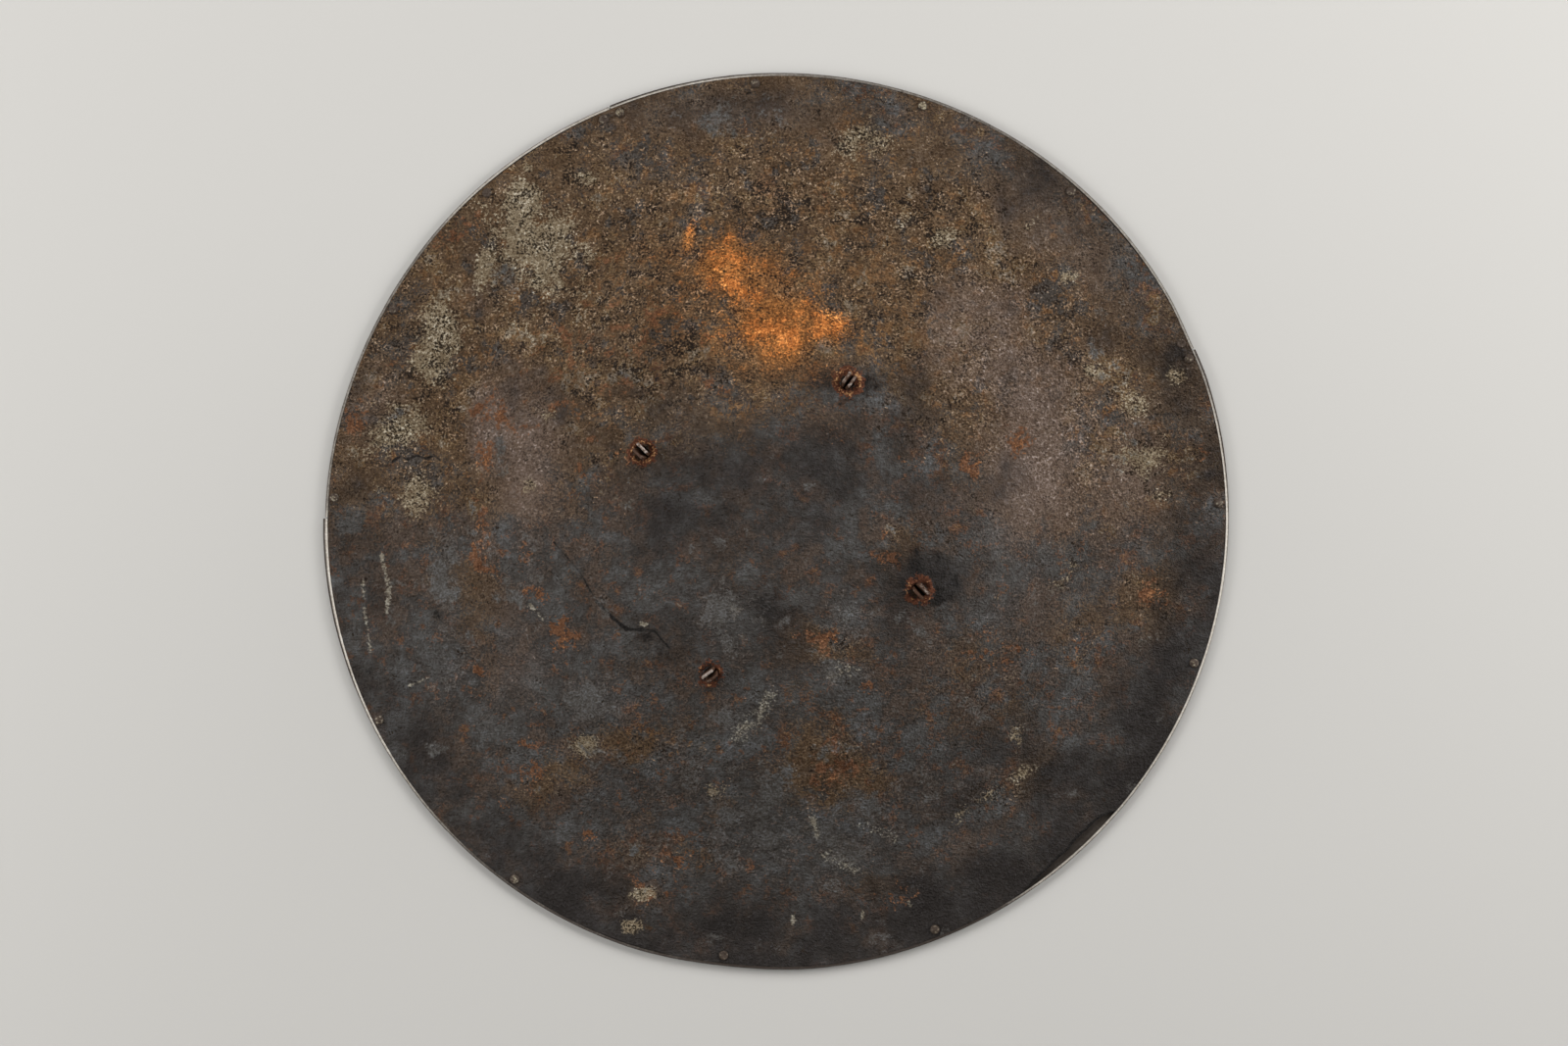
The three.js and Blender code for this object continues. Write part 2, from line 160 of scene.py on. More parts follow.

# Patches of corrosion, grime and dust, with painted shade, painted shadows beside two pins and painted sheen
# among them.
# Each kind has the share of a patch that is solid, how far it fades beyond its edge, and its patches: x, y,
# half width, half height, turn, strength.
PATCHES = {
    "film": (0.1, 1.7, (
        (28, -121, 30, 26, 0, 0.8), (-119, -125, 26, 22, 0, 0.6), (-146, -30, 14, 40, 0, 0.5),
        (25, -59, 22, 11, -15, 0.9), (105, -75, 34, 26, 0, 0.5), (188, -38, 22, 24, 0, 0.8),
        (-60, -165, 26, 12, 0, 0.6), (-60, -110, 32, 12, 0, 0.7), (120, -130, 26, 12, 35, 0.7),
        (50, -185, 22, 10, 0, 0.5), (-70, -190, 18, 12, 0, 0.7), (60, -10, 16, 22, 0, 0.6),
        (150, -60, 18, 22, 0, 0.6), (60, 50, 26, 18, 0, 0.6),
    )),
    "grey": (0.0, 1.6, (
        (-20, -47, 20, 22, 0, 0.9), (35, -45, 12, 12, 0, 0.9), (32, -76, 13, 11, 0, 1.0),
        (-17, -100, 13, 14, 40, 0.9), (32, -169, 18, 9, -10, 0.9), (-59, -34, 18, 11, 0, 0.7),
        (-162, -23, 12, 24, 0, 0.8), (-127, -23, 18, 24, 0, 0.5), (-93, -89, 24, 16, 0, 0.7),
        (8, -150, 60, 36, 0, 0.8), (-168, -72, 18, 26, 0, 0.7), (-40, -120, 50, 26, 0, 0.5),
        (80, -120, 40, 30, 0, 0.4), (-139, 28, 8, 6, 0, 1.0), (-191, 53, 14, 3.5, 23, 1.3),
        (180, 46, 9, 13, 0, 1.0), (-134, 122, 10, 15, 10, 1.25), (88, 48, 24, 18, 0, 0.25),
        (168, 20, 10, 18, 0, 0.6), (-137, 30, 7, 16, 0, 1.2), (-25, 203, 60, 14, 0, 0.65),
        (155, 100, 24, 26, 0, 0.65), (30, -74, 11, 9, 0, 1.2),
    )),
    # The dust patches on the east and west flanks are partly painted sheen, lighter where the side lamps
    # catch the slopes.
    "dust_and_sheen": (0.0, 1.7, (
        (132, 36, 36, 58, -12, 1.0), (104, 92, 34, 34, 0, 0.8), (-122, 36, 20, 44, 0, 0.9),
        (-141, 45, 14, 24, 0, 1.2), (-128, -70, 20, 44, 0, 0.5), (-200, 60, 14, 30, -20, 0.6),
        (172, 20, 30, 44, 0, 0.75), (120, -40, 30, 40, 0, 0.4), (145, 140, 65, 22, -45, 0.5),
        (-25, 203, 70, 14, 0, 0.4),
    )),
    "ochre": (0.1, 1.7, (
        (-60, 105, 44, 40, 0, 0.8), (-95, 70, 34, 30, 0, 0.7), (-10, 128, 56, 30, 0, 0.8),
        (-12, 98, 46, 34, 0, 0.9), (55, 100, 40, 40, 0, 0.8), (122, 40, 6, 6, 0, 1.0),
        (192, 12, 14, 7, 0, 1.0), (-122, 18, 14, 9, 10, 0.9), (-21, 46, 16, 18, 0, 0.8),
        (-72, -201, 9, 5, 10, 1.0), (-61, -185, 5, 4, 0, 0.9), (-52, -110, 20, 8, 0, 0.8),
        (40, 190, 22, 14, 0, 0.8), (-150, 100, 40, 50, 0, 0.5), (-120, 140, 30, 34, 0, 0.8),
    )),
    "rust": (0.2, 1.6, (
        (-147, -12, 7, 19, 0, 1.0), (-125, -18, 7, 7, 0, 1.0), (-120, -35, 7, 6, 0, 1.0),
        (-105, -59, 7, 11, 10, 1.1), (-148, -75, 5, 11, 0, 0.7), (-126, -110, 6, 7, 0, 0.8),
        (-122, -128, 9, 8, 0, 1.0), (-136, -141, 6, 5, 0, 0.7), (-48, -168, 14, 5, 0, 0.8),
        (-63, -183, 9, 9, 0, 0.9), (-7, -172, 7, 4, 0, 0.8), (-92, -158, 7, 4, 0, 0.7),
        (25, -58, 15, 7, -15, 0.9), (28, -121, 18, 18, 0, 0.9), (48, -82, 5, 6, 0, 0.8),
        (187, -37, 9, 9, 0, 1.0), (56, -16, 9, 14, 0, 0.6), (120, 39, 7, 7, 0, 1.3),
        (96, 29, 8, 6, 20, 1.3), (62, 27, 6, 5, 0, 0.9), (25, 162, 4, 3, 0, 0.9),
        (-140, 55, 14, 11, 0, 0.9), (-145, 34, 6, 15, 0, 1.1), (150, -65, 6, 9, 0, 0.6),
        (-64, 98, 34, 29, 20, 0.45), (-93, 74, 29, 29, 0, 0.45), (-98, 27, 6, 5, 0, 0.8),
        (-211, 51, 5, 9, 0, 0.7), (-195, 76, 5, 5, 0, 0.6), (61, -187, 9, 7, 0, 0.6),
        (110, -66, 17, 11, 0, 0.45), (212, 35, 5, 9, 0, 0.7), (-160, 150, 8, 12, -45, 0.6),
        (-79, 33, 6, 4, 20, 1.2), (30, 70, 5, 6, 0, 1.2), (-70, 30, 5, 3, 0, 1.0),
        (46, -84, 9, 4, -15, 0.7), (-73, -115, 9, 5, 0, 0.7), (-30, 67, 8, 6, 0, 0.6),
    )),
    "bloom": (0.1, 2.0, (
        (-24, 124, 15, 16, 30, 0.95), (-15, 112, 14, 16, 40, 0.85), (-4, 98, 17, 15, 20, 0.9),
        (4, 90, 15, 12, 0, 1.0), (26, 96, 13, 10, -10, 1.0), (14, 101, 16, 10, 0, 0.8),
        (-43, 142, 3.2, 10, -10, 1.0), (-34, 134, 9, 10, 30, 0.6), (-12, 108, 46, 32, -30, 0.55),
    )),
    # Soot patches are partly painted shadow: the dark shade beside the second and third pins.
    "soot_and_shadow": (0.2, 1.7, (
        (77, -28, 19, 15, 0, 0.8), (42, 67, 14, 11, 0, 0.6), (34, 68, 13, 12, 0, 0.45),
        (-30, -70, 12, 10, 0, 0.45), (-6, -40, 10, 12, 0, 0.55), (-59, -60, 15, 6, -35, 0.5),
        (-61, 72, 11, 8, 0, 0.3), (-47, 87, 9, 6, 20, 0.35), (-3, 113, 4, 5, 0, 0.6),
        (9, 143, 13, 7, 0, 0.45), (-204, -75, 4, 5, 0, 0.8), (-170, -46, 3, 4, 0, 0.8),
        (-125, -181, 10, 4, 0, 0.5), (12, -210, 12, 4, 0, 0.6), (-34, 76, 9, 7, 0, 0.35),
    )),
    # Grime patches are partly painted shade: the dark crown, the darker lower half and south-east, and the
    # shadows beside the second and third pins.
    "grime_and_shade": (0.0, 1.7, (
        (-40, 25, 60, 25, 0, 0.7), (10, 20, 60, 40, 0, 0.75), (75, 15, 45, 32, 0, 0.6),
        (60, 50, 32, 26, 0, 0.8), (-50, 2, 32, 30, 0, 0.8), (0, -48, 26, 22, 0, 0.6),
        (50, -30, 40, 34, 0, 0.6), (-50, 50, 26, 24, 0, 0.6), (77, -28, 23, 18, 0, 1.0),
        (40, 66, 19, 15, 0, 0.9), (0, -50, 190, 30, 0, 0.42), (110, -130, 60, 34, 40, 0.6),
        (-95, 65, 40, 30, 0, 0.48), (28, 66, 20, 15, 0, 0.7), (-190, -90, 20, 50, 20, 0.4),
        (-25, 206, 70, 14, 0, 0.55), (135, 166, 50, 26, -45, 0.6), (-206, 72, 10, 34, -18, 0.5),
        (155, -135, 46, 30, 40, 1.0), (165, 95, 20, 24, 0, 0.4),
    )),
    "pits": (0.0, 1.6, (
        (82, 156, 40, 22, 0, 0.9), (0, 160, 24, 24, 0, 1.1), (38, 190, 20, 18, 0, 0.8),
        (-59, 81, 17, 17, 0, 0.8), (-30, 71, 17, 12, 0, 0.9), (76, 49, 26, 17, 0, 0.7),
        (86, 1, 22, 17, 0, 0.6), (-99, 172, 17, 12, 0, 0.7), (-130, 140, 40, 50, 0, 0.5),
        (40, 130, 30, 30, 0, 0.6), (-185, 60, 20, 40, 0, 0.6), (185, 40, 22, 40, 0, 0.6),
        (105, -136, 24, 10, 35, 0.8), (142, -22, 13, 11, 0, 0.7), (-20, 150, 110, 50, 0, 0.45),
        (60, 120, 60, 40, 0, 0.45), (-90, 60, 60, 40, 0, 0.25), (-60, 73, 14, 10, 0, 1.3),
        (-47, 87, 12, 8, 20, 1.3), (-33, 75, 12, 9, 0, 1.3), (-95, 80, 26, 18, 0, 0.3),
    )),
    "crust": (0.1, 1.5, (
        (-124, 136, 32, 41, 15, 0.8), (-127, 160, 13, 13, 20, 1.1), (-113, 140, 20, 16, 30, 1.0),
        (-144, 134, 7, 24, -18, 0.95), (-98, 134, 8, 11, 0, 0.8), (-170, 88, 16, 23, 0, 0.9),
        (-168, 92, 11, 18, 0, 1.25), (-183, 80, 8, 7, 30, 0.7), (-190, 47, 21, 15, 25, 0.9),
        (-179, 18, 12, 14, 0, 0.9), (-197, 16, 5, 4, 0, 0.7), (-96, 172, 8, 5, 0, 0.8),
        (-124, 176, 4, 3, 0, 0.6), (43, 190, 20, 12, 8, 0.75), (39, 193, 12, 7, 10, 1.0),
        (62, 148, 6, 6, 0, 0.8), (84, 141, 8, 7, 20, 0.95), (126, 148, 5, 4, 0, 0.6),
        (146, 122, 7, 7, 0, 0.9), (158, 76, 9, 5, 0, 0.5), (201, 73, 6, 6, 0, 0.9),
        (181, 56, 11, 11, 0, 0.65), (182, 33, 17, 18, 0, 0.5), (193, 12, 10, 6, 0, 0.85),
        (143, -23, 12, 10, 0, 0.55), (110, -37, 5, 4, 0, 0.6), (92, -146, 9, 5, 35, 0.65),
        (106, -137, 10, 5, 35, 0.7), (122, -126, 9, 5, 35, 0.65), (119, -107, 5, 8, 0, 0.5),
        (-32, -133, 6, 6, 0, 0.7), (-95, -110, 8, 8, 0, 0.7), (-113, 53, 7, 5, 0, 0.7),
        (-122, 18, 7, 6, 0, 0.7), (-67, -186, 8, 4, 0, 0.8), (-71, -202, 8, 5, 10, 0.9),
        (-26, -132, 10, 7, 0, 0.5),
    )),
}

# Zone round the rim where the film thins and grime and painted shade gather: where it begins, and how far on
# it is full
RIM_ZONE_START = 165.0
RIM_ZONE_WIDTH = 42.0
# How far the film thins there, how much more on one side, and the direction of that side
FILM_THINNING = 0.1
FILM_SIDE_THINNING = 0.3
FILM_SIDE = 65.0
# How much grime and painted shade darken it there at least, how much more painted shade on one side, darker
# towards the lower right, and the direction of that side
RIM_GRIME_AND_SHADE = 0.1
RIM_SIDE_SHADE = 0.8
SHADE_SIDE = -68.0
# How far the film holds the grey scale back
GREY_UNDER_FILM = 0.3
# How brown the back is all over
BACK_FILM = 0.55
# Painted black shadow line along the broken edge: how wide, how deep a break shows it in full, how black
FRACTURE_WIDTH = 2.4
FRACTURE_FULL = 1.2
FRACTURE_SHADOW = 1.5
# Painted shade inside the pin holes: how black, and how far in it is full
HOLE_SHADE = 0.55
HOLE_SHADE_FADE = 1.5
# How strong the grain of pits and crumbs is on bare iron, what the coats add to it, and its limits
IRON_GRAIN = 0.65
COAT_GRAIN = {"film": 0.4, "dust_and_sheen": -0.25, "ochre": -0.2}
GRAIN_LIMITS = (0.4, 1.2)
# Grain of the other pieces
STRIP_GRAIN = 0.25
RIVET_GRAIN = 0.6
PIN_GRAIN = 0.5
# Kinds that have no flecks outside their patches
KEPT_IN = ("rust", "bloom", "soot_and_shadow", "crust", "collar", "scuff")

# Lower edge of the brown film across the shield: x, y, and how softly it fades
FILM_EDGE = ((-225, 5), (-150, 5), (-70, 25), (-20, 50), (38, 65), (80, 25), (130, -5), (225, -10))
FILM_FADE = 14.0

# Lines on the plate: points, half width, strength
SCUFFS = (
    (((-197, -17), (-194, -33), (-195, -45)), 1.2, 1.0),
    (((-207, -29), (-206, -45), (-203, -65)), 0.8, 0.7),
    (((-20, -106), (-10, -98), (-3, -86)), 3.4, 0.62),
    (((18, -147), (20, -156)), 1.5, 1.0),
    (((42, -150), (59, -157)), 2.0, 0.45),
    (((24, -166), (42, -176)), 2.2, 0.45),
    (((8, -197), (8, -200)), 1.0, 1.3),
    (((43, -195), (43, -198)), 0.9, 1.2),
    (((66, -190), (67, -192)), 0.9, 1.0),
    (((-184, -82), (-174, -78)), 0.6, 0.8),
    (((-122, -41), (-116, -48)), 1.2, 0.7),
    (((-67, -50), (-64, -51)), 0.9, 1.1),
    (((26, -69), (37, -77)), 0.8, 0.5),
    (((25, -77), (36, -73)), 0.7, 0.5),
    (((30, -69), (41, -73)), 0.6, 0.45),
)
GASHES = (
    (((-206, 40), (-199, 39), (-195, 41), (-191, 45)), 0.9, 0.8),
    (((-192, 30), (-188, 32.5), (-184, 31), (-180, 33), (-175, 31.5), (-171, 33), (-168, 31)), 0.7, 0.85),
    (((-206, 38), (-203, 46), (-196, 52), (-187, 56)), 0.7, 0.6),
    (((-170, -45), (-168, -49)), 1.2, 1.0),
)
CRACK = (
    (((-110, -10), (-97, -25), (-89, -39)), 0.5, 0.75),
    (((-89, -39), (-80, -48), (-74, -53), (-66, -53)), 0.9, 1.2),
    (((-66, -53), (-60, -54), (-53, -62)), 0.7, 1.1),
)
# Reach of the finer mesh round the lines and the pins
FINE_BAND = 3.2

# Relief of the plate, raised in this order: size of the lumps, octaves, height, level that stays, where
PLATE_RELIEF = (
    (55.0, 1, 2.4, 0.5, "body"),
    (17.0, 2, 1.2, 0.5, "outer"),
    (6.0, 2, 0.7, 0.5, "outer"),
    (3.6, 2, 1.3, 0.25, "crust"),
    (4.5, 3, 0.7, 0.35, "bloom"),
    (2.5, 2, -1.3, 0.0, "gash"),
    (3.0, 2, 1.5, 0.1, "collar"),
)
# The hammering dies out this far from the plate's edge, and the finer relief nearly so
HAMMER_CALM = 12.0
RELIEF_CALM = 4.0
RELIEF_LEAST = 0.15
# A crack goes this share of a gash's depth
CRACK_DEPTH = 0.5
# Relief of the other pieces
LIP_RELIEF = (7.0, 2, 0.2, 0.55, "lip_top")
RIVET_RELIEF = (1.8, 1, 0.35, 0.6, "head")
PIN_RELIEF = (1.6, 2, 0.4, 0.5)
# The least weight that a vertex group takes
LEAST_WEIGHT = 0.002


# Shape helpers
def hump(share):
    """A smooth bump that is 1 in the middle and 0 from one half width on."""
    return np.where(np.abs(share) < 1.0, (1.0 + np.cos(np.pi * np.clip(share, -1, 1))) / 2.0, 0.0)


def rise(height, low, high):
    """Goes from 0 at the low height to 1 at the high one."""
    return np.clip((height - low) / (high - low), 0.0, 1.0)


def apart(direction, other):
    """Angle from one direction to another, between -180 and 180."""
    return (direction - other + 180.0) % 360.0 - 180.0


def polar(spots):
    """Radius and direction of each point in plan."""
    return np.hypot(spots[:, 0], spots[:, 1]), np.degrees(np.arctan2(spots[:, 1], spots[:, 0]))


def place_round(spots, radius, direction):
    """Moves each point to a radius and a direction, at its own height."""
    spots[:, 0] = radius * np.cos(np.radians(direction))
    spots[:, 1] = radius * np.sin(np.radians(direction))


def outline(direction):
    """Radius of the worn rim at a direction."""
    radius = RIM_RADIUS + OVAL_SWELL * np.cos(np.radians(2.0 * (direction - OVAL_DIRECTION)))
    for middle, half_width, depth in FLATS:
        radius = radius - depth * hump(apart(direction, middle) / half_width)
    return radius


def break_depth(direction):
    """How far the plate's edge is broken away at a direction."""
    stops = np.array(BREAK_LINE)
    return np.interp(direction % 360.0, stops[:, 0], stops[:, 1], left=0.0, right=0.0)


def outer_height(radius):
    """Height of the plate's outer face: crown, flare and flat land."""
    crown = DOME_HEIGHT - CROWN_RADIUS + np.sqrt(CROWN_RADIUS ** 2 - np.minimum(radius, CROWN_EDGE) ** 2)
    run = np.clip(LAND_EDGE - radius, 0.0, LAND_EDGE - CROWN_EDGE)
    flare = LAND_HEIGHT + FLARE_RADIUS - np.sqrt(FLARE_RADIUS ** 2 - run ** 2)
    return np.where(radius <= CROWN_EDGE, crown, flare)


def inner_height(radius):
    """Height of the inner face, one wall thickness in from the outer face."""
    crown_edge = CROWN_EDGE - WALL * math.sin(FLANK_SLOPE)
    crown_radius = CROWN_RADIUS - WALL
    crown = DOME_HEIGHT - CROWN_RADIUS + np.sqrt(crown_radius ** 2 - np.minimum(radius, crown_edge) ** 2)
    run = np.clip(LAND_EDGE - radius, 0.0, LAND_EDGE - crown_edge)
    flare = LAND_HEIGHT + FLARE_RADIUS - np.sqrt((FLARE_RADIUS + WALL) ** 2 - run ** 2)
    return np.where(radius <= crown_edge, crown, flare)


def on_crown(direction, radius, along):
    """Placement on the crown's outer face, +Z along its normal and +Y along the given direction."""
    turn = math.radians(direction)
    lean = math.asin(radius / CROWN_RADIUS)
    foot = Vector((radius * math.cos(turn), radius * math.sin(turn), float(outer_height(radius))))
    return (
        Matrix.Translation(foot)
        @ Matrix.Rotation(turn, 4, "Z")
        @ Matrix.Rotation(lean, 4, "Y")
        @ Matrix.Rotation(math.radians(along - 90.0) - turn, 4, "Z")
    )


# Mesh helpers
def points_of(piece):
    """Places of a piece's vertices, one row each."""
    spots = np.zeros(len(piece.data.vertices) * 3)
    piece.data.vertices.foreach_get("co", spots)
    return spots.reshape(-1, 3)


def move_points(piece, spots):
    piece.data.vertices.foreach_set("co", spots.ravel())
    piece.data.update()


def select_points(piece, chosen):
    """Leaves edit mode's selection on the vertices that are true in chosen."""
    bpy.ops.object.mode_set(mode="EDIT")
    bpy.ops.mesh.select_mode(type="VERT")
    bpy.ops.mesh.select_all(action="DESELECT")
    bpy.ops.object.mode_set(mode="OBJECT")
    piece.data.vertices.foreach_set("select", np.asarray(chosen, dtype=bool))
    bpy.ops.object.mode_set(mode="EDIT")


def make_active(piece):
    """Selects one piece alone, so that operators act on it only."""
    bpy.ops.object.select_all(action="DESELECT")
    piece.select_set(True)
    bpy.context.view_layer.objects.active = piece


def draw_wire(name, stops):
    """Starts from one vertex and extrudes it from stop to stop."""
    bpy.ops.object.select_all(action="DESELECT")
    bpy.ops.mesh.primitive_plane_add(size=1.0)
    wire = bpy.context.object
    wire.name = name
    bpy.ops.object.mode_set(mode="EDIT")
    bpy.ops.mesh.select_mode(type="VERT")
    bpy.ops.mesh.select_all(action="SELECT")
    bpy.ops.mesh.merge(type="CENTER")
    bpy.ops.transform.translate(value=stops[0])
    for here, there in zip(stops, stops[1:]):
        step = Vector(there) - Vector(here)
        bpy.ops.mesh.extrude_region_move(TRANSFORM_OT_translate={"value": step})
    bpy.ops.object.mode_set(mode="OBJECT")
    return wire


def close_mesh(piece):
    """Merges doubles and turns every face outwards."""
    make_active(piece)
    bpy.ops.object.mode_set(mode="EDIT")
    bpy.ops.mesh.select_all(action="SELECT")
    bpy.ops.mesh.remove_doubles(threshold=0.01)
    bpy.ops.mesh.normals_make_consistent(inside=False)
    bpy.ops.object.mode_set(mode="OBJECT")


def apply_modifier(piece, kind, **settings):
    make_active(piece)
    modifier = piece.modifiers.new(kind.lower(), kind)
    for name, value in settings.items():
        setattr(modifier, name, value)
    bpy.ops.object.modifier_apply(modifier=modifier.name)


def roughen(piece, size, octaves, height, level, group="", noise="SOFT_NOISE", direction="NORMAL"):
    """Raises lumps of a size on a piece, or on one of its vertex groups."""
    texture = bpy.data.textures.new("clouds", "CLOUDS")
    texture.noise_scale = size
    texture.noise_depth = octaves
    texture.noise_type = noise
    apply_modifier(piece, "DISPLACE", texture=texture, texture_coords="LOCAL", direction=direction,
                   strength=height, mid_level=level, vertex_group=group)


def set_group(piece, name, weights):
    group = piece.vertex_groups.new(name=name)
    for index in np.nonzero(weights > LEAST_WEIGHT)[0]:
        group.add([int(index)], float(weights[index]), "REPLACE")


def set_mask(piece, name, values):
    """Stores one number per vertex for the material to read, under a name that no vertex group holds."""
    piece.vertex_groups.clear()
    mask = piece.data.attributes.new(name, "FLOAT", "POINT")
    mask.data.foreach_set("value", np.asarray(values, dtype=np.float32))


def hand_over(piece, node, finish):
    """Brings a finished piece to metres and gives it its node's place in the frame."""
    piece.data.transform(Matrix.Scale(MM, 4))
    make_active(piece)
    bpy.ops.object.shade_smooth_by_angle(angle=SHARP_ANGLE)
    piece.data.materials.clear()
    piece.data.materials.append(finish)
    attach(piece, "root")
    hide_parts(node)


# Where the corrosion is
def patch_weight(spots, patches, core, reach_out):
    """How strongly each point lies in any of the patches, fading from the core's edge to the reach."""
    weight = np.zeros(len(spots))
    for x, y, half_width, half_height, turn, strength in patches:
        angle = math.radians(turn)
        east = spots[:, 0] - x
        north = spots[:, 1] - y
        along = east * math.cos(angle) + north * math.sin(angle)
        across = north * math.cos(angle) - east * math.sin(angle)
        reach = np.hypot(along / half_width, across / half_height)
        fade = np.clip((reach_out - reach) / (reach_out - core), 0.0, 1.0)
        weight = np.maximum(weight, strength * fade * fade * (3.0 - 2.0 * fade))
    return weight


def run_gap(spots, start, end):
    """Distance from each point to a straight run, measured in plan."""
    start = np.array(start, dtype=float)
    run = np.array(end, dtype=float) - start
    share = np.clip(((spots[:, :2] - start) @ run) / (run @ run), 0.0, 1.0)
    return np.linalg.norm(spots[:, :2] - start - share[:, None] * run, axis=1)


def line_gap(spots, lines):
    """Distance from each point to the nearest of the lines."""
    gaps = [run_gap(spots, *ends) for stops, _, _ in lines for ends in zip(stops, stops[1:])]
    return np.min(gaps, axis=0)


def line_weight(spots, lines):
    """How strongly each point lies on any of the lines, half as strongly at the half width."""
    weight = np.zeros(len(spots))
    for stops, half_width, strength in lines:
        for start, end in zip(stops, stops[1:]):
            weight = np.maximum(weight, strength * hump(run_gap(spots, start, end) / (2.0 * half_width)))
    return weight


def axis_gap(spots, direction, radius):
    """Distance from each point to one pin's axis, measured in plan."""
    turn = math.radians(direction)
    return np.hypot(spots[:, 0] - radius * math.cos(turn), spots[:, 1] - radius * math.sin(turn))


def pin_gap(spots):
    """Distance from each point to the nearest pin's axis, measured in plan."""
    return np.min([axis_gap(spots, direction, radius) for direction, radius, *_ in PINS], axis=0)


def collar_weight(spots):
    """How strongly each point lies in the rust round a pin, strongest on the crest next to the hole."""
    weight = np.zeros(len(spots))
    for (direction, radius, *_), (reach, rusty, crest) in zip(PINS, COLLARS):
        gap = axis_gap(spots, direction, radius)
        ring = rusty * np.clip((reach - gap) / COLLAR_FADE, 0.0, 1.0)
        ring = ring + crest * hump((gap - BRIGHT_CREST[0]) / BRIGHT_CREST[1])
        weight = np.maximum(weight, ring)
    return weight


def outer_share(spots):
    """1 on the plate's outer face, and 0 from half its thickness down."""
    radius, direction = polar(spots)
    face = outer_height(radius * RIM_RADIUS / outline(direction))
    return np.clip((spots[:, 2] - face) / (0.5 * WALL) + 1.0, 0.0, 1.0)


def edge_gap(spots):
    """Distance of each point from the plate's edge as it was before it broke."""
    radius, direction = polar(spots)
    return outline(direction) - PLATE_SETBACK - radius


def rim_zone(spots):
    """0 up to the zone round the rim, and 1 where that zone is full."""
    radius, _ = polar(spots)
    return np.clip((radius - RIM_ZONE_START) / RIM_ZONE_WIDTH, 0.0, 1.0)


def film_weight(spots):
    """How brown the film is at each point: full above its lower edge, and thinner towards the rim."""
    _, direction = polar(spots)
    side = np.clip(np.cos(np.radians(direction - FILM_SIDE)), 0.0, 1.0)
    thinned = 1.0 - rim_zone(spots) * (FILM_THINNING + FILM_SIDE_THINNING * side)
    stops = np.array(FILM_EDGE)
    above = spots[:, 1] - np.interp(spots[:, 0], stops[:, 0], stops[:, 1])
    return thinned / (1.0 + np.exp(-above / FILM_FADE))


def rim_grime_and_shade(spots):
    """How much grime and painted shade darken the rim zone, the painted shade strongest on one side, towards
    the lower right.
    """
    _, direction = polar(spots)
    side = 0.5 + 0.5 * np.cos(np.radians(direction - SHADE_SIDE))
    return rim_zone(spots) * (RIM_GRIME_AND_SHADE + RIM_SIDE_SHADE * side)


def fracture_shadow_weight(spots):
    """How strongly each point lies on the painted black shadow along the broken edge."""
    _, direction = polar(spots)
    lost = break_depth(direction)
    return np.clip(lost / FRACTURE_FULL, 0.0, 1.0) * hump((edge_gap(spots) - lost) / FRACTURE_WIDTH)


# Plate
def grid_disc(name, across):
    """A flat disc of radius 1, filled with an even grid of quads."""
    bpy.ops.object.select_all(action="DESELECT")
    bpy.ops.mesh.primitive_circle_add(vertices=4 * across, radius=1.0, fill_type="NOTHING")
    disc = bpy.context.object
    disc.name = name
    bpy.ops.object.mode_set(mode="EDIT")
    bpy.ops.mesh.select_all(action="SELECT")
    bpy.ops.mesh.fill_grid(span=across)
    bpy.ops.object.mode_set(mode="OBJECT")
    # All but the circle itself is smoothed.
    radius, _ = polar(points_of(disc))
    select_points(disc, radius < 0.9999)
    bpy.ops.mesh.vertices_smooth(factor=0.5, repeat=GRID_SMOOTHING)
    bpy.ops.object.mode_set(mode="OBJECT")
    return disc


def lay_on_profile(disc, height):
    """Stretches the flat disc to the worn, broken outline and raises it to a face of the dome."""
    spots = points_of(disc)
    share, direction = polar(spots)
    edge = outline(direction) - PLATE_SETBACK
    for middle, half_width, drawn in EDGE_GAPS:
        edge = edge - drawn * hump(apart(direction, middle) / half_width)
    radius = share * edge
    lost = break_depth(direction)
    radius = radius - lost * np.clip((radius - edge + BREAK_REACH) / BREAK_REACH, 0.0, 1.0) ** 2
    place_round(spots, radius, direction)
    spots[:, 2] = height(radius * RIM_RADIUS / outline(direction))
    move_points(disc, spots)


def make_plate():
    """The plate before it is weathered: a fine outer face, a plainer back and the edge between them."""
    face = grid_disc("worn_plate", FACE_GRID)
    lay_on_profile(face, outer_height)
    back = grid_disc("plate_back", BACK_GRID)
    lay_on_profile(back, inner_height)
    make_active(back)
    bpy.ops.object.mode_set(mode="EDIT")
    bpy.ops.mesh.select_all(action="SELECT")
    bpy.ops.mesh.flip_normals()
    bpy.ops.object.mode_set(mode="OBJECT")
    make_active(face)
    back.select_set(True)
    bpy.ops.object.join()
    bpy.ops.object.mode_set(mode="EDIT")
    bpy.ops.mesh.select_all(action="DESELECT")
    bpy.ops.mesh.select_mode(type="EDGE")
    bpy.ops.mesh.select_non_manifold(extend=False, use_wire=False, use_multi_face=False,
                                     use_non_contiguous=False, use_verts=False)
    bpy.ops.mesh.bridge_edge_loops()
    bpy.ops.object.mode_set(mode="OBJECT")
    refine_plate(face)
    cut_pin_holes(face)
    choke_pin_holes(face)
    return face


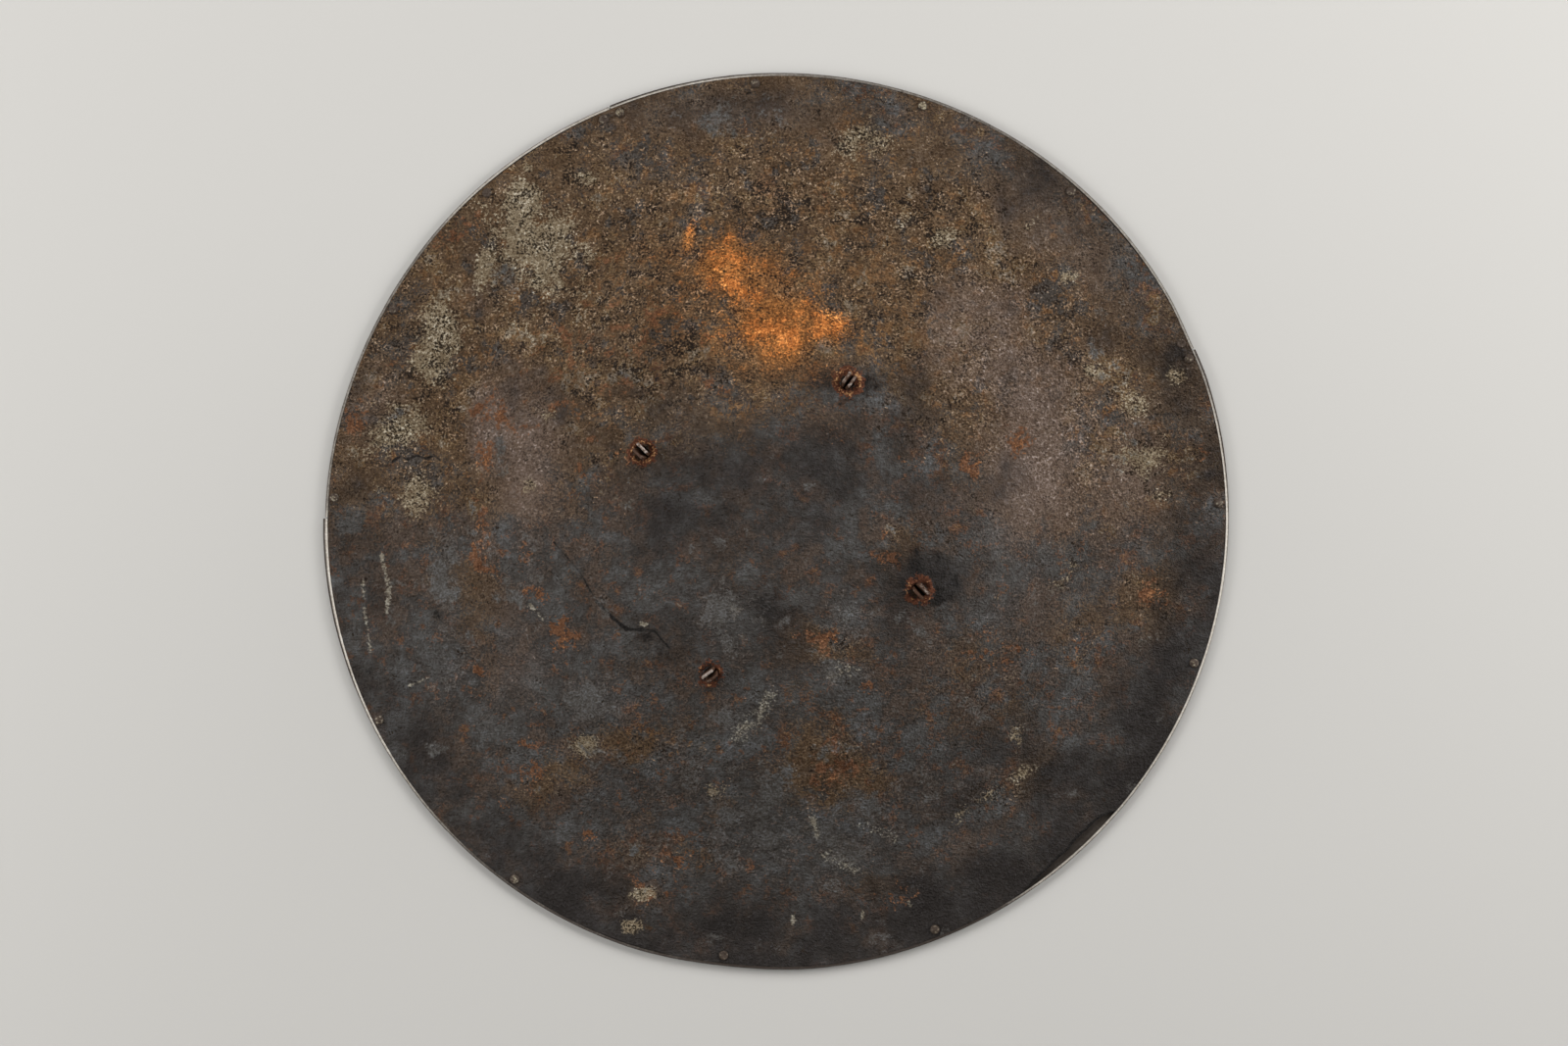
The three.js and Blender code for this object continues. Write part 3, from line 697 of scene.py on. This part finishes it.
def refine_plate(plate):
    """Splits the outer face finely along the cracks and round the pins, where the relief is small."""
    make_active(plate)
    middles = np.zeros(len(plate.data.polygons) * 3)
    plate.data.polygons.foreach_get("center", middles)
    middles = middles.reshape(-1, 3)
    gap = np.minimum(pin_gap(middles) - COLLAR_RADIUS, line_gap(middles, GASHES + CRACK + SCUFFS))
    radius, _ = polar(middles)
    outer = middles[:, 2] > outer_height(radius) - 0.5 * WALL
    bpy.ops.object.mode_set(mode="EDIT")
    bpy.ops.mesh.select_mode(type="FACE")
    bpy.ops.mesh.select_all(action="DESELECT")
    bpy.ops.object.mode_set(mode="OBJECT")
    plate.data.polygons.foreach_set("select", outer & (gap < FINE_BAND))
    bpy.ops.object.mode_set(mode="EDIT")
    bpy.ops.mesh.subdivide(number_cuts=2)
    bpy.ops.object.mode_set(mode="OBJECT")


def cut_pin_holes(plate):
    """Drills the four pin holes square to the crown."""
    cutters = []
    for direction, radius, along, *_ in PINS:
        bpy.ops.object.select_all(action="DESELECT")
        bpy.ops.mesh.primitive_cylinder_add(vertices=HOLE_SIDES, radius=HOLE_RADIUS, depth=DRILL_LENGTH)
        cutter = bpy.context.object
        cutter.data.transform(on_crown(direction, radius, along))
        cutters.append(cutter)
    make_active(cutters[0])
    for cutter in cutters:
        cutter.select_set(True)
    bpy.ops.object.join()
    drill = bpy.context.object
    apply_modifier(plate, "BOOLEAN", operation="DIFFERENCE", object=drill, solver="EXACT")
    bpy.data.objects.remove(drill)


def choke_pin_holes(plate):
    """Draws the mouths of the pin holes in towards the legs, as the rust has done."""
    spots = points_of(plate)
    for direction, radius, along, *_ in PINS:
        place = np.array(on_crown(direction, radius, along))
        local = (spots - place[:3, 3]) @ place[:3, :3]
        gap = np.hypot(local[:, 0], local[:, 1])
        reach = HOLE_RADIUS + CHOKED_REACH
        mouth = np.clip((local[:, 2] + CHOKED_DEPTH) / DEPTH_FADE, 0.0, 1.0) * (gap < reach)
        across = np.abs(local[:, 0]) / np.maximum(gap, 0.01)
        pull = CHOKED * mouth * across ** 2 * np.clip((reach - gap) / REACH_FADE, 0.0, 1.0)
        local[:, :2] *= (1.0 - pull / np.maximum(gap, 0.01))[:, None]
        local[:, 2] -= CHOKED_SLOPE * pull
        near = pull > 0.0
        spots[near] = (local @ place[:3, :3].T + place[:3, 3])[near]
    move_points(plate, spots)


def corrosion_masks(spots, outer, gash, crack):
    """How strongly each kind of corrosion and dirt, and each painted shade, shadow and sheen, lies on each
    point of the plate.
    """
    mask = {}
    for kind, (core, reach, patches) in PATCHES.items():
        mask[kind] = outer * patch_weight(spots, patches, core, reach)
    film = film_weight(spots)
    mask["grey"] = mask["grey"] - GREY_UNDER_FILM * film
    mask["film"] = outer * np.maximum(film, mask["film"]) + (1.0 - outer) * BACK_FILM
    # Gashes and the crack darken the soot, and painted shadow along the broken edge and painted shade inside
    # the pin holes join it.
    in_hole = np.clip((HOLE_RADIUS - pin_gap(spots)) / HOLE_SHADE_FADE, 0.0, 1.0)
    for soot_and_shadow in (gash, crack, FRACTURE_SHADOW * fracture_shadow_weight(spots), HOLE_SHADE * in_hole):
        mask["soot_and_shadow"] = np.maximum(mask["soot_and_shadow"], soot_and_shadow)
    mask["scuff"] = outer * line_weight(spots, SCUFFS)
    mask["collar"] = outer * collar_weight(spots)
    # Grime and painted shade round the rim, darker towards the lower right.
    mask["grime_and_shade"] = np.maximum(mask["grime_and_shade"], rim_grime_and_shade(spots))
    coarse = IRON_GRAIN
    for kind, share in COAT_GRAIN.items():
        coarse = coarse + share * mask[kind]
    mask["coarse"] = np.clip(coarse, *GRAIN_LIMITS)
    return mask


def relief_groups(spots, outer, gash, crack, mask):
    """How strongly each kind of relief acts on each point of the plate."""
    edge = edge_gap(spots)
    return {
        "body": np.clip(edge / HAMMER_CALM, 0.0, 1.0),
        "outer": outer * np.clip(edge / RELIEF_CALM, RELIEF_LEAST, 1.0),
        "crust": mask["crust"],
        "bloom": np.maximum(mask["bloom"], mask["rust"]),
        "gash": np.maximum(gash, CRACK_DEPTH * crack),
        "collar": outer * hump((pin_gap(spots) - RAISED_CREST[0]) / RAISED_CREST[1]),
    }


def weather_plate(plate):
    """Hammers and corrodes the outer face, and stores where each kind of corrosion, and the painted shade,
    shadows and sheen, lie.
    """
    spots = points_of(plate)
    outer = outer_share(spots)
    gash = outer * line_weight(spots, GASHES)
    crack = outer * line_weight(spots, CRACK)
    mask = corrosion_masks(spots, outer, gash, crack)
    for group, weights in relief_groups(spots, outer, gash, crack, mask).items():
        set_group(plate, group, weights)
    for size, octaves, height, level, group in PLATE_RELIEF:
        noise = "HARD_NOISE" if group == "crust" else "SOFT_NOISE"
        way = "Z" if group == "body" else "NORMAL"
        roughen(plate, size, octaves, height, level, group, noise, way)
    for kind, values in mask.items():
        if kind in KEPT_IN:
            values = np.where(values > 0.0, values, -1.0)
        set_mask(plate, kind, values)


# Edging
def draw_edging(name, span):
    """A strip of L section on a true circle: a flange to lie under the plate's land, and a lip."""
    inner = RIM_RADIUS - FLANGE_WIDTH
    lip = RIM_RADIUS - LIP_THICKNESS
    section = ((inner, 0.0), (RIM_RADIUS, 0.0), (RIM_RADIUS, LAND_HEIGHT), (lip, LAND_HEIGHT),
               (lip, FLANGE_THICKNESS), (inner, FLANGE_THICKNESS))
    strip = draw_wire(name, [(x, 0.0, z) for x, z in section])
    bpy.ops.object.mode_set(mode="EDIT")
    bpy.ops.mesh.select_all(action="SELECT")
    bpy.ops.mesh.edge_face_add()
    bpy.ops.mesh.select_all(action="SELECT")
    bpy.ops.mesh.spin(steps=int(span), angle=math.radians(span), center=(0, 0, 0), axis=(0, 0, 1))
    bpy.ops.object.mode_set(mode="OBJECT")
    close_mesh(strip)
    apply_modifier(strip, "BEVEL", width=STRIP_BEVEL, segments=2, limit_method="ANGLE",
                   angle_limit=math.radians(40.0))
    return strip


def fit_edging(strip, start, end, spread_start, spread_end):
    """Turns a strip to its place on the worn outline, and spreads its lip at the ends."""
    spots = points_of(strip)
    radius, turned = polar(spots)
    span = end - start
    # The spin may go either way round, and its first points may lie just before its start.
    onward = np.median(np.abs(apart(turned, span / 2.0)))
    backward = np.median(np.abs(apart(turned, -span / 2.0)))
    sign = 1.0 if onward < backward else -1.0
    slack = 5.0
    share = ((turned * sign + slack) % 360.0 - slack) / span
    gap = math.degrees(0.5 * JOINT_GAP / RIM_RADIUS)
    direction = start + gap + share * (span - 2.0 * gap)
    spread = spread_start * hump((direction - start) / SPREAD_ANGLE)
    spread = spread + spread_end * hump((end - direction) / SPREAD_ANGLE)
    outward = np.clip((radius - RIM_RADIUS) / LIP_THICKNESS + 1.0, 0.0, 1.0)
    place_round(spots, radius - RIM_RADIUS + outline(direction) + spread * outward, direction)
    move_points(strip, spots)
    close_mesh(strip)


def wear_edging(strip):
    """Roughens the lip, and stores where its top is pale and where the flange is sheltered."""
    spots = points_of(strip)
    radius, direction = polar(spots)
    lip_top = rise(spots[:, 2], LIP_FOOT, LIP_BRIGHT)
    outward = radius - outline(direction) + LIP_THICKNESS
    pale_band = np.clip((PALE_EDGE - outward) / PALE_FADE, 0.0, 1.0)
    stops = np.array(LIP_PALENESS)
    pale_mark = lip_top * pale_band * np.interp(direction % 360.0, stops[:, 0], stops[:, 1])
    on_flange = outward < 0.1
    set_group(strip, "lip_top", lip_top)
    roughen(strip, *LIP_RELIEF)
    set_mask(strip, "pale_mark", pale_mark)
    set_mask(strip, "sheltered", (1.0 - lip_top) * on_flange)
    set_mask(strip, "coarse", np.full(len(spots), STRIP_GRAIN))


def make_edging(number, start, end, spread_start, spread_end):
    """One length of edging, from joint to joint."""
    strip = draw_edging(f"edging_{number}", end - start)
    fit_edging(strip, start, end, spread_start, spread_end)
    wear_edging(strip)
    return strip


# Rivets
def make_rivet(kind):
    """A rivet turned about its own axis: countersunk tail, shank and a domed or hollow head."""
    section = RIVET_SHANK + RIVET_HEADS[kind]
    rivet = draw_wire(f"rivet_{kind}", [(x, 0.0, z) for x, z in section])
    bpy.ops.object.mode_set(mode="EDIT")
    bpy.ops.mesh.select_all(action="SELECT")
    bpy.ops.mesh.spin(steps=RIVET_SIDES, angle=2.0 * math.pi, center=(0, 0, 0), axis=(0, 0, 1))
    bpy.ops.object.mode_set(mode="OBJECT")
    close_mesh(rivet)
    return rivet


def set_rivet(number, pattern, direction, setback, paleness):
    """A copy of one of the two rivets at its place on the rim, turned and worn in its own way."""
    rivet = pattern.copy()
    rivet.data = pattern.data.copy()
    rivet.name = f"rivet_{number:02d}"
    bpy.context.collection.objects.link(rivet)
    turn = math.radians(direction)
    radius = float(outline(np.array(direction))) - setback
    place = Matrix.Translation((radius * math.cos(turn), radius * math.sin(turn), 0.0))
    rivet.data.transform(place @ Matrix.Rotation(turn * RIVET_TURN, 4, "Z"))
    set_group(rivet, "head", rise(points_of(rivet)[:, 2], *ROUGH_HEAD))
    roughen(rivet, *RIVET_RELIEF)
    spots = points_of(rivet)
    set_mask(rivet, "pale_mark", paleness * rise(spots[:, 2], *WORN_HEAD))
    set_mask(rivet, "coarse", np.full(len(spots), RIVET_GRAIN))
    return rivet


# Split pins
def leg_stops(side, height, lean):
    """One leg from the plate's face up to its leaning end."""
    return [
        (side, 0.0, 0.0),
        (side + math.copysign(BEND_LEAN * lean, side), 0.0, BEND_HEIGHT * height),
        (side + math.copysign(lean, side), 0.0, height),
    ]


def pin_stops(legs, leans):
    """Middle line of the folded strip: down one leg, round the eye and up the other leg."""
    side = 0.5 * (LEG_GAP + PIN_THICKNESS)
    ring = EYE_RADIUS - 0.5 * PIN_THICKNESS
    neck = math.asin(side / ring)
    step = (2.0 * math.pi - 2.0 * neck) / EYE_STEPS
    turns = [math.pi / 2.0 - neck - k * step for k in range(EYE_STEPS + 1)]
    eye = [(ring * math.cos(turn), 0.0, ring * math.sin(turn) - EYE_DROP) for turn in turns]
    return leg_stops(side, legs[0], leans[0])[::-1] + eye + leg_stops(-side, legs[1], leans[1])


def make_pin(number, direction, radius, along, legs, leans, paleness):
    """A strip folded round an eye, its two legs standing through the plate."""
    pin = draw_wire(f"split_pin_{number}", pin_stops(legs, leans))
    bpy.ops.object.mode_set(mode="EDIT")
    bpy.ops.mesh.select_all(action="SELECT")
    bpy.ops.transform.translate(value=(0.0, -0.5 * PIN_WIDTH, 0.0))
    bpy.ops.mesh.extrude_region_move(TRANSFORM_OT_translate={"value": (0.0, PIN_WIDTH, 0.0)})
    bpy.ops.object.mode_set(mode="OBJECT")
    close_mesh(pin)
    apply_modifier(pin, "SOLIDIFY", thickness=PIN_THICKNESS, offset=0.0)
    apply_modifier(pin, "BEVEL", width=PIN_BEVEL, segments=2, limit_method="ANGLE",
                   angle_limit=math.radians(50.0))
    apply_modifier(pin, "SUBSURF", subdivision_type="SIMPLE", levels=2, render_levels=2)
    spots = points_of(pin)
    first = spots[:, 0] > 0.0
    end = np.where(first, legs[0], legs[1])
    pale_mark = np.where(first, paleness[0], paleness[1]) * np.clip(spots[:, 2] - end + WORN_END, 0.0, 1.0)
    set_mask(pin, "pale_mark", pale_mark)
    set_mask(pin, "coarse", np.full(len(spots), PIN_GRAIN))
    pin.data.transform(on_crown(direction, radius, along))
    roughen(pin, *PIN_RELIEF)
    return pin


# Materials
def paint(code):
    """An sRGB hex colour as linear red, green, blue and alpha."""
    channels = [int(code[k:k + 2], 16) / 255.0 for k in (1, 3, 5)]
    linear = [c / 12.92 if c <= 0.04045 else ((c + 0.055) / 1.055) ** 2.4 for c in channels]
    return (*linear, 1.0)


def add(tree, kind, inputs=None, **fields):
    """Adds one node, sets its fields, and sets or links its sockets."""
    made = tree.nodes.new("ShaderNode" + kind)
    for name, value in fields.items():
        setattr(made, name, value)
    for name, value in (inputs or {}).items():
        if isinstance(value, bpy.types.NodeSocket):
            tree.links.new(value, made.inputs[name])
        else:
            made.inputs[name].default_value = value
    return made


def new_finish(name):
    finish = bpy.data.materials.new(name)
    finish.use_nodes = True
    finish.node_tree.nodes.clear()
    return finish, finish.node_tree


# Fibres that hammering and slag have left in the iron, along X: length, width, and how far the pattern is
# turned so that its own grid doesn't show
FIBRE_LENGTH = 7.0
FIBRE_WIDTH = 1.0
FIBRE_TURN = 24.0
# Shared patterns of the corrosion: size of the largest lumps, octaves, how strong the fine ones are, and how
# far the pattern swings to either side of its middle. Real grit is finer than the picture can show, so it is
# drawn about two pixels across.
PATTERNS = {
    "clouds": (34.0, 3.0, 0.65, 0.15),
    "islands": (20.0, 4.0, 0.72, 0.135),
    "blots": (9.0, 3.0, 0.75, 0.145),
    "specks": (4.6, 2.0, 0.75, 0.16),
    "crumbs": (2.2, 1.0, 0.8, 0.18),
    "grit": (1.15, 1.0, 0.8, 0.2),
    "mottle": (26.0, 3.0, 1.0, 0.135),
    "fibres": (FIBRE_WIDTH, 1.0, 0.8, 0.2),
}
# Roughness of the iron under its coats, and the low gloss of a corroded surface
BARE_ROUGHNESS = 0.6
DULL_GLOSS = 0.12
# Grain of the colour and of its relief, and what marks the colour only: pattern and strength
GRAIN = (("grit", 0.6), ("crumbs", 0.28))
MARKS = (("fibres", 0.2), ("mottle", 0.28))
# Pits are browner than the crumbs: how far red, green and blue follow the grain
GRAIN_TINT = (0.87, 1.0, 1.15)


def lay_patterns(tree):
    """The shared patterns, each of which swings from about -1 to 1."""
    place = add(tree, "TexCoord").outputs["Object"]
    drawn_out = add(tree, "Mapping", {
        "Vector": place, "Rotation": (0.0, 0.0, math.radians(FIBRE_TURN)),
        "Scale": (FIBRE_WIDTH / FIBRE_LENGTH, 1.0, 1.0),
    }, vector_type="POINT").outputs[0]
    pattern = {}
    for label, (size, octaves, harsh, swing) in PATTERNS.items():
        noise = add(tree, "TexNoise", {
            "Vector": drawn_out if label == "fibres" else place,
            "Scale": 1.0 / (size * MM), "Detail": octaves, "Roughness": harsh,
        }).outputs[0]
        pattern[label] = add(tree, "MapRange", {
            "Value": noise, "From Min": 0.5 - swing, "From Max": 0.5 + swing, "To Min": -1.0, "To Max": 1.0,
        }, clamp=False).outputs[0]
    return pattern


def corroded_iron(name, base, coats, bump):
    """Sheet iron under layers of corrosion.

    base is the colour of the iron. Each coat holds the mask it follows, the pattern that frays it, how far
    the pattern and the grit fray it, where it begins and is full, its colour and its roughness. The mask
    called coarse says how strong the grain of pits and crumbs is, and bump how high the grain stands."""
    finish, tree = new_finish(name)
    pattern = lay_patterns(tree)
    colour = paint(base)
    rough = BARE_ROUGHNESS
    for mask, frayed_by, fray, grit, begin, full, tint, coat_rough in coats:
        level = add(tree, "Attribute", attribute_name=mask).outputs["Fac"]
        for source, share in ((pattern[frayed_by], fray), (pattern["grit"], grit)):
            level = add(tree, "Math", {0: source, 1: share, 2: level}, operation="MULTIPLY_ADD").outputs[0]
        cover = add(tree, "MapRange", {"Value": level, "From Min": begin, "From Max": full},
                    interpolation_type="SMOOTHSTEP").outputs[0]
        colour = add(tree, "Mix", {0: cover, 6: colour, 7: paint(tint)}, data_type="RGBA").outputs[2]
        rough = add(tree, "Mix", {0: cover, 2: rough, 3: coat_rough}, data_type="FLOAT").outputs[0]

    # Pits and lit crumbs about a millimetre across raise the surface, and with fibres and mottling shade it.
    height = 0.0
    for label, share in GRAIN:
        height = add(tree, "Math", {0: pattern[label], 1: share, 2: height},
                     operation="MULTIPLY_ADD").outputs[0]
    coarse = add(tree, "Attribute", attribute_name="coarse").outputs["Fac"]
    relief = add(tree, "Math", {0: height, 1: coarse}, operation="MULTIPLY").outputs[0]
    for label, share in MARKS:
        height = add(tree, "Math", {0: pattern[label], 1: share, 2: height},
                     operation="MULTIPLY_ADD").outputs[0]
    swing = add(tree, "Math", {0: height, 1: coarse}, operation="MULTIPLY").outputs[0]
    shade = add(tree, "CombineColor")
    for channel, follow in enumerate(GRAIN_TINT):
        power = add(tree, "Math", {0: swing, 1: follow}, operation="MULTIPLY").outputs[0]
        tree.links.new(add(tree, "Math", {0: power}, operation="EXPONENT").outputs[0], shade.inputs[channel])
    colour = add(tree, "Mix", {0: 1.0, 6: colour, 7: shade.outputs[0]}, data_type="RGBA",
                 blend_type="MULTIPLY").outputs[2]
    relief = add(tree, "Bump", {"Height": relief, "Strength": 1.0, "Distance": bump * MM})
    shader = add(tree, "BsdfPrincipled", {
        "Base Color": colour, "Roughness": rough, "Specular IOR Level": DULL_GLOSS,
        "Normal": relief.outputs[0],
    })
    add(tree, "OutputMaterial", {"Surface": shader.outputs[0]})
    return finish


def make_finishes():
    # Wrought sheet iron, hammered and long rusted: dark iron under brown film, ochre and pale dusty oxide
    # with painted sheen on its flanks, blue-grey scale, rust, orange bloom, pale granular crust, grime,
    # soot, and painted shade and shadows.
    plate = corroded_iron("hammered_rusted_wrought_iron", "#35312e", (
        ("coarse", "islands", 0.6, 0.2, 0.6, 1.1, "#41362e", 0.7),
        ("coarse", "islands", -0.6, -0.1, 0.65, 1.15, "#42403e", 0.55),
        ("coarse", "blots", 0.7, 0.35, 1.0, 1.4, "#4a362a", 0.8),
        ("film", "clouds", 0.45, 0.25, 0.25, 0.85, "#4b3a29", 0.75),
        ("film", "islands", 0.8, 0.2, 1.15, 1.5, "#58452f", 0.8),
        ("film", "islands", -0.8, -0.2, 1.3, 1.65, "#3a342f", 0.65),
        ("film", "islands", 0.9, 0.3, 1.6, 1.85, "#5e5244", 0.85),
        ("film", "blots", 0.8, 0.3, 1.4, 1.8, "#5f452d", 0.85),
        ("film", "blots", -0.75, -0.6, 1.3, 1.8, "#2c231c", 0.9),
        ("film", "specks", 0.6, 0.7, 1.5, 2.1, "#705b47", 0.85),
        ("ochre", "blots", 0.7, 0.25, 0.7, 1.3, "#59412a", 0.8),
        # Pale dust, partly painted sheen on the east and west flanks.
        ("dust_and_sheen", "clouds", 0.25, 0.15, 0.1, 1.2, "#584a41", 0.65),
        ("dust_and_sheen", "crumbs", 0.6, 0.25, 1.1, 1.9, "#6e5f55", 0.7),
        # Grime, partly painted shade: the dark crown, the darker lower half and rim, and shadows beside two
        # pins.
        ("grime_and_shade", "clouds", 0.3, 0.1, 0.2, 1.0, "#231f1d", 0.6),
        ("rust", "blots", 0.8, 0.3, 0.8, 1.2, "#593c29", 0.85),
        ("rust", "specks", 0.7, 0.3, 1.4, 1.85, "#6e4a30", 0.9),
        ("bloom", "clouds", 0.25, 0.2, 0.2, 1.1, "#784d27", 0.9),
        ("bloom", "blots", 0.35, 0.25, 0.65, 1.3, "#a5622f", 0.9),
        ("bloom", "specks", 0.5, 0.3, 1.25, 1.8, "#bd7a3f", 0.9),
        # Soot, partly painted shadow: beside two pins, along the broken edge and inside the pin holes.
        ("soot_and_shadow", "blots", 0.4, 0.15, 0.4, 1.0, "#14110f", 0.6),
        ("pits", "blots", -0.7, -0.7, 0.95, 1.5, "#261e17", 0.9),
        ("crust", "islands", 0.35, 0.25, 0.45, 0.85, "#6e614e", 0.95),
        ("crust", "crumbs", 0.3, 0.6, 1.05, 2.0, "#867a68", 0.95),
        ("crust", "blots", -0.5, -0.8, 0.9, 1.6, "#2b241c", 0.95),
        ("grey", "islands", 0.6, 0.1, 0.45, 1.0, "#474441", 0.6),
        ("grey", "blots", 0.6, 0.15, 1.0, 1.6, "#55514c", 0.55),
        ("collar", "specks", 0.5, 0.3, 0.35, 0.8, "#4a2b1d", 0.9),
        ("collar", "crumbs", 0.6, 0.5, 1.2, 2.1, "#86613f", 0.9),
        ("scuff", "specks", 0.3, 0.3, 0.3, 1.2, "#777063", 0.5),
    ), bump=0.55)
    # Iron strip, brown with rust and pale along the top of the lip, most on the east and west.
    rim = corroded_iron("pale_lipped_wrought_iron_strip", "#352e29", (
        ("sheltered", "specks", 0.1, 0.1, 0.1, 1.0, "#3a342f", 0.8),
        ("pale_mark", "specks", 0.05, 0.02, 0.0, 1.0, "#c6bfb4", 0.45),
    ), bump=0.15)
    # Rivet iron, dark with its raised tops rubbed pale.
    rivet = corroded_iron("rubbed_rivet_iron", "#40362f", (
        ("pale_mark", "crumbs", 0.3, 0.3, 0.3, 1.3, "#847a66", 0.5),
    ), bump=0.15)
    # Forged pin iron, flaking and red-brown, with pale worn ends.
    pin = corroded_iron("flaking_pin_iron", "#453125", (
        ("pale_mark", "crumbs", 0.3, 0.2, 0.2, 1.1, "#857970", 0.5),
    ), bump=0.2)
    return plate, rim, rivet, pin


# Studio, in metres: softboxes with their place, width, height and power
LAMPS = {
    "right_lamp": ((1.45, 0.35, 0.7), 0.9, 1.2, 29.0),
    "left_lamp": ((-1.5, 0.05, 0.7), 0.9, 1.2, 25.0),
    "top_lamp": ((0.0, 1.2, 1.05), 1.6, 0.8, 16.5),
    "low_lamp": ((0.0, -1.3, 1.0), 1.6, 0.8, 5.0),
}
FLOOR_SIZE = 24.0
SKY_STRENGTH = 0.14
# The camera looks straight down from above the rim. Its sensor is 36 mm wide, the picture 1600 pixels, and
# one pixel shows this many millimetres at the rim.
CAMERA_REACH = 3.0
CAMERA_PLACE = (0.0036, -0.0006)
SENSOR_WIDTH = 36.0
PICTURE_WIDTH = 1600
PIXEL = 0.48986


def softbox(name, place, width, height, power):
    """A large soft lamp that faces the shield."""
    bpy.ops.object.light_add(type="AREA", location=place)
    lamp = bpy.context.object
    lamp.name = name
    lamp.rotation_euler = (-Vector(place)).to_track_quat("-Z", "Y").to_euler()
    lamp.data.shape = "RECTANGLE"
    lamp.data.size = width
    lamp.data.size_y = height
    lamp.data.energy = power


def make_studio():
    """Floor, lamps, sky and camera."""
    bpy.ops.object.select_all(action="DESELECT")
    bpy.ops.mesh.primitive_plane_add(size=FLOOR_SIZE)
    floor = bpy.context.object
    floor.name = "floor"
    cover, tree = new_finish("pale_matt_floor")
    shader = add(tree, "BsdfPrincipled", {"Base Color": paint("#b6b4b0"), "Roughness": 0.9})
    add(tree, "OutputMaterial", {"Surface": shader.outputs[0]})
    floor.data.materials.append(cover)

    for name, lamp in LAMPS.items():
        softbox(name, *lamp)

    world = bpy.data.worlds.new("studio")
    world.use_nodes = True
    sky = world.node_tree.nodes["Background"]
    sky.inputs["Color"].default_value = paint("#dcdbd8")
    sky.inputs["Strength"].default_value = SKY_STRENGTH
    bpy.context.scene.world = world

    bpy.ops.object.camera_add(location=(*CAMERA_PLACE, CAMERA_REACH + LAND_HEIGHT * MM), rotation=(0, 0, 0))
    camera = bpy.context.object
    camera.data.sensor_width = SENSOR_WIDTH
    camera.data.lens = SENSOR_WIDTH * CAMERA_REACH / (PICTURE_WIDTH * PIXEL * MM)
    bpy.context.scene.camera = camera
    bpy.context.scene.view_settings.view_transform = "Standard"


plate_iron, rim_iron, rivet_iron, pin_iron = make_finishes()

plate = make_plate()
weather_plate(plate)
hand_over(plate, "shield_plate", plate_iron)

for number, strip in enumerate(STRIPS, 1):
    edging = make_edging(number, *strip)
    hand_over(edging, f"rim_strip_{number}", rim_iron)

patterns = {kind: make_rivet(kind) for kind in RIVET_HEADS}
for number, (direction, setback, kind, paleness) in enumerate(RIVETS, 1):
    rivet = set_rivet(number, patterns[kind], direction, setback, paleness)
    hand_over(rivet, f"rim_rivet_{number:02d}", rivet_iron)
for pattern in patterns.values():
    bpy.data.objects.remove(pattern)

for number, pin in enumerate(PINS, 1):
    split_pin = make_pin(number, *pin)
    hand_over(split_pin, f"handle_pin_{number}", pin_iron)

make_studio()

bpy.context.view_layer.update()
